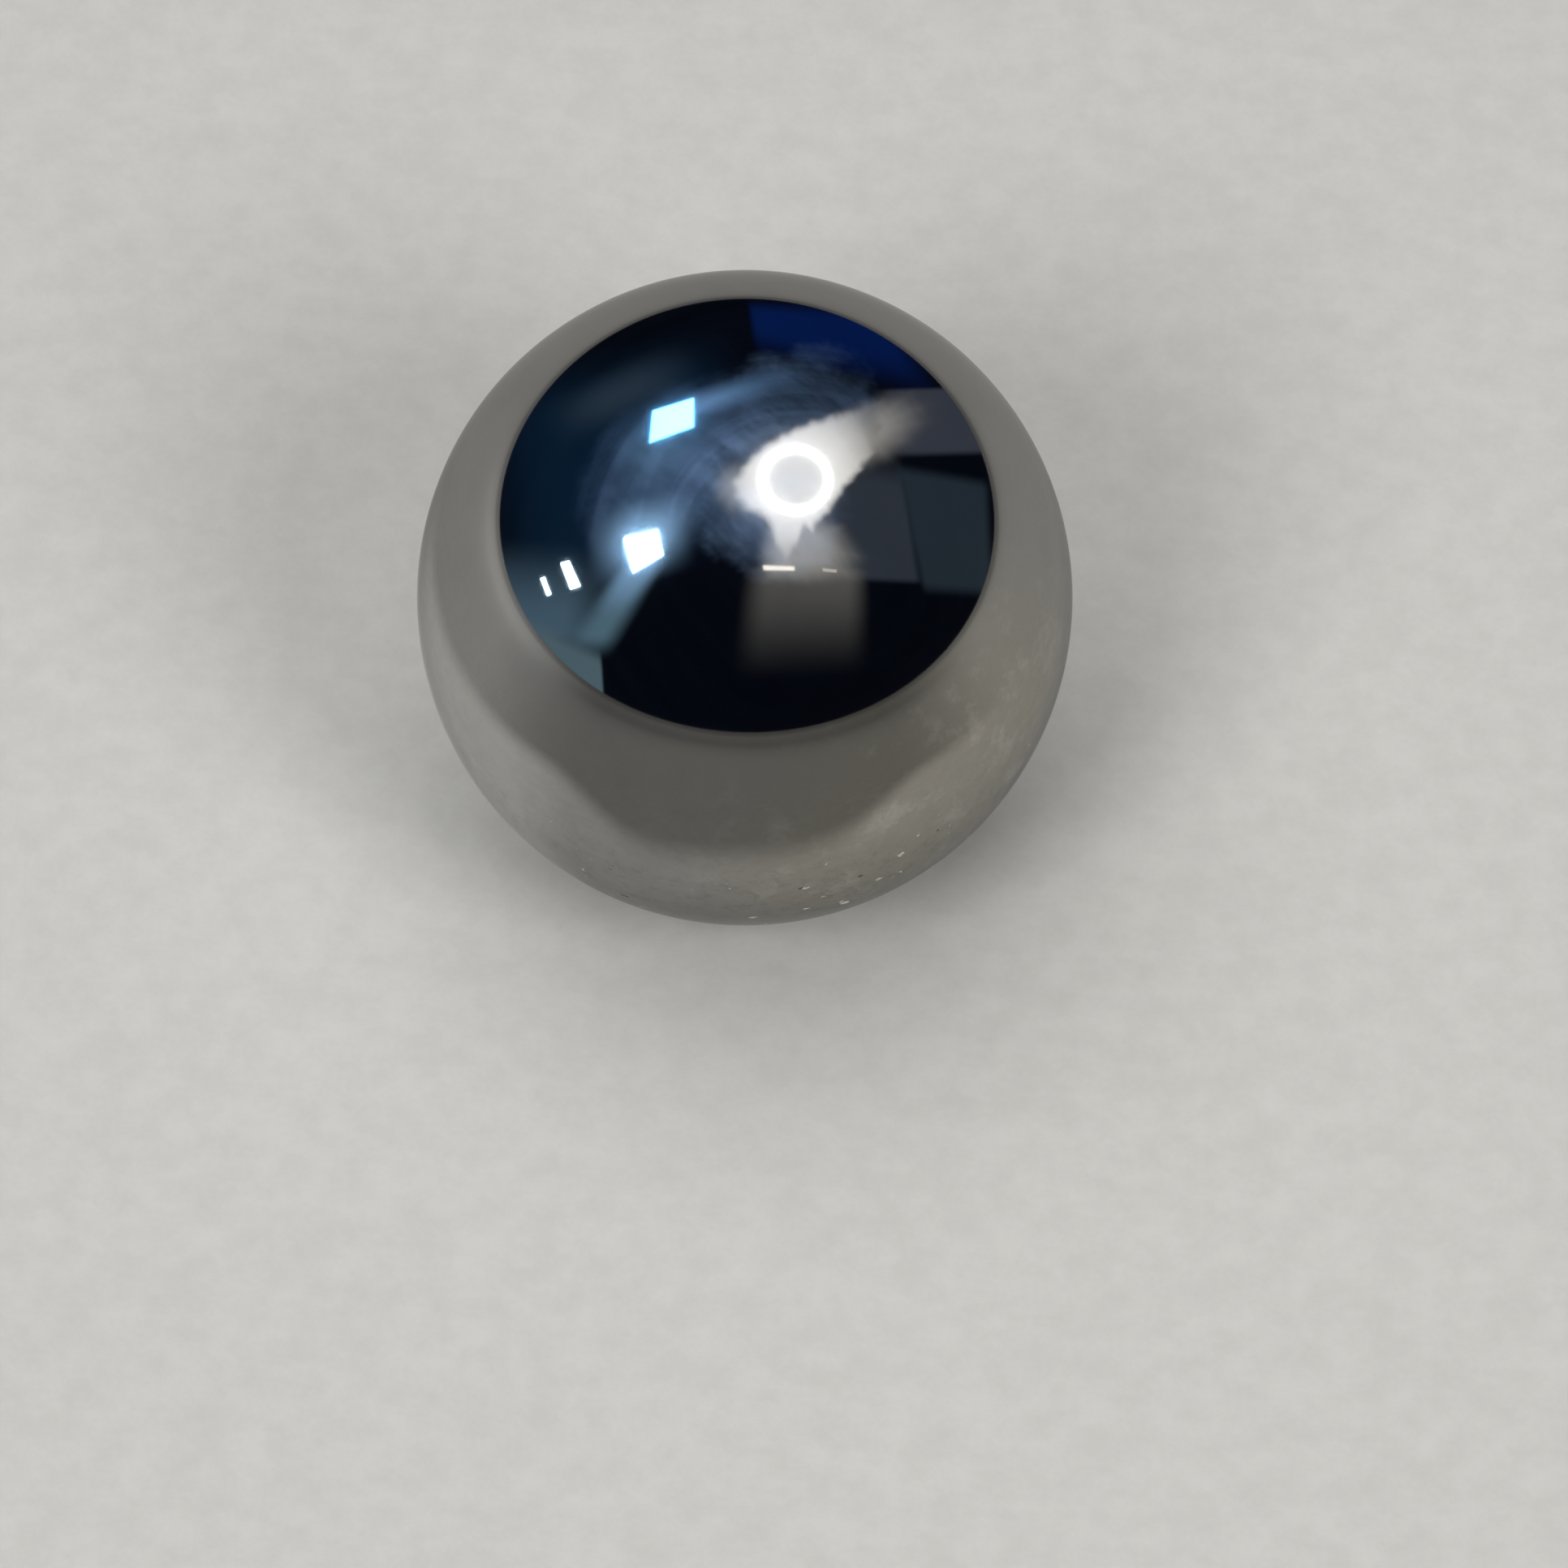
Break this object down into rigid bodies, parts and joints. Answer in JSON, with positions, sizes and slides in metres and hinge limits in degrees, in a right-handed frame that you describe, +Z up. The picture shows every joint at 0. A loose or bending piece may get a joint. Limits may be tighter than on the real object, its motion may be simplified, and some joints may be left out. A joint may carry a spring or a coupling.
{
  "type": "steel ball",
  "caption": "Solid mirror-polished steel sphere with no bore, flat or seam, for bearings, detents, check valves and bench work.",
  "frame": {"origin": "centre of the ball", "axes": "+Z up, away from the seat that the ball lies in; the ball is alike about every axis"},
  "size_m": [0.0254, 0.0254, 0.0254],
  "materials": {
    "polished_steel": "mirror polished, with a thin wiped film of oil and a little dust low down"
  },
  "bodies": {
    "root": {"ball": "polished_steel"}
  },
  "joints": []
}
